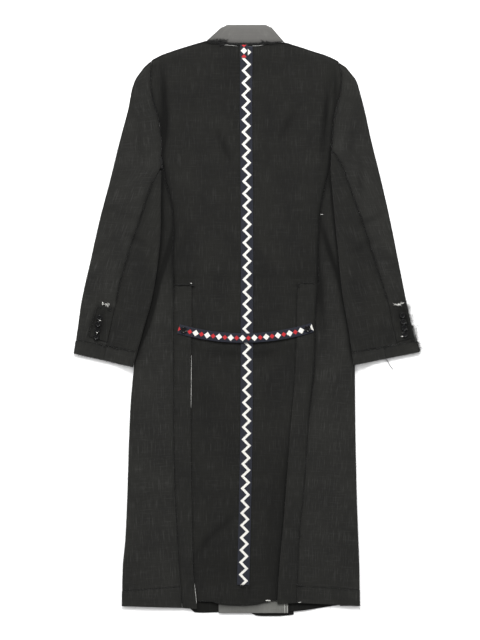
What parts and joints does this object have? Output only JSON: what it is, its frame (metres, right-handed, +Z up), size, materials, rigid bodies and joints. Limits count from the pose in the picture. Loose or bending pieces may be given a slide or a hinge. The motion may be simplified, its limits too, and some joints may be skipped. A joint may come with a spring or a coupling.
{
  "type": "long blazer coat",
  "caption": "Long tailored coat-blazer in charcoal wool laid flat with its back up, with side-back vents, a buttoned half belt and a woven ribbon down the centre back",
  "frame": {"origin": "centre of the laid garment's box, on the surface it lies on", "axes": "+Y from the hem towards the collar, +X towards the wearer's right sleeve, +Z up from the surface, out of the back"},
  "size_m": [0.7329, 1.253, 0.0175],
  "materials": {
    "charcoal_wool": "matte plain-weave wool with a fine slub",
    "grey_wool": "mid-grey felted wool",
    "ribbon": "ribbed ribbon, navy with off-white and red motifs",
    "horn_button": "polished black"
  },
  "bodies": {
    "root": {"back_left": "charcoal_wool", "back_right": "charcoal_wool", "side_left": "charcoal_wool", "side_right": "charcoal_wool", "hem_left": "charcoal_wool", "hem_right": "charcoal_wool", "vent_left": "charcoal_wool", "vent_right": "charcoal_wool", "front_left": "charcoal_wool", "front_right": "charcoal_wool", "sleeve_top_left": "charcoal_wool", "sleeve_top_right": "charcoal_wool", "sleeve_under_left": "charcoal_wool", "sleeve_under_right": "charcoal_wool", "cuff_left": "charcoal_wool", "cuff_right": "charcoal_wool", "placket_left": "charcoal_wool", "placket_right": "charcoal_wool", "collar": "grey_wool", "front_facing": "grey_wool", "back_tape": "ribbon", "neck_tab": "ribbon", "half_belt": "ribbon", "button_left_1": "horn_button", "button_left_2": "horn_button", "button_left_3": "horn_button", "button_left_4": "horn_button", "button_right_1": "horn_button", "button_right_2": "horn_button", "button_right_3": "horn_button", "button_right_4": "horn_button", "belt_button_left": "horn_button", "belt_button_right": "horn_button"}
  },
  "joints": []
}
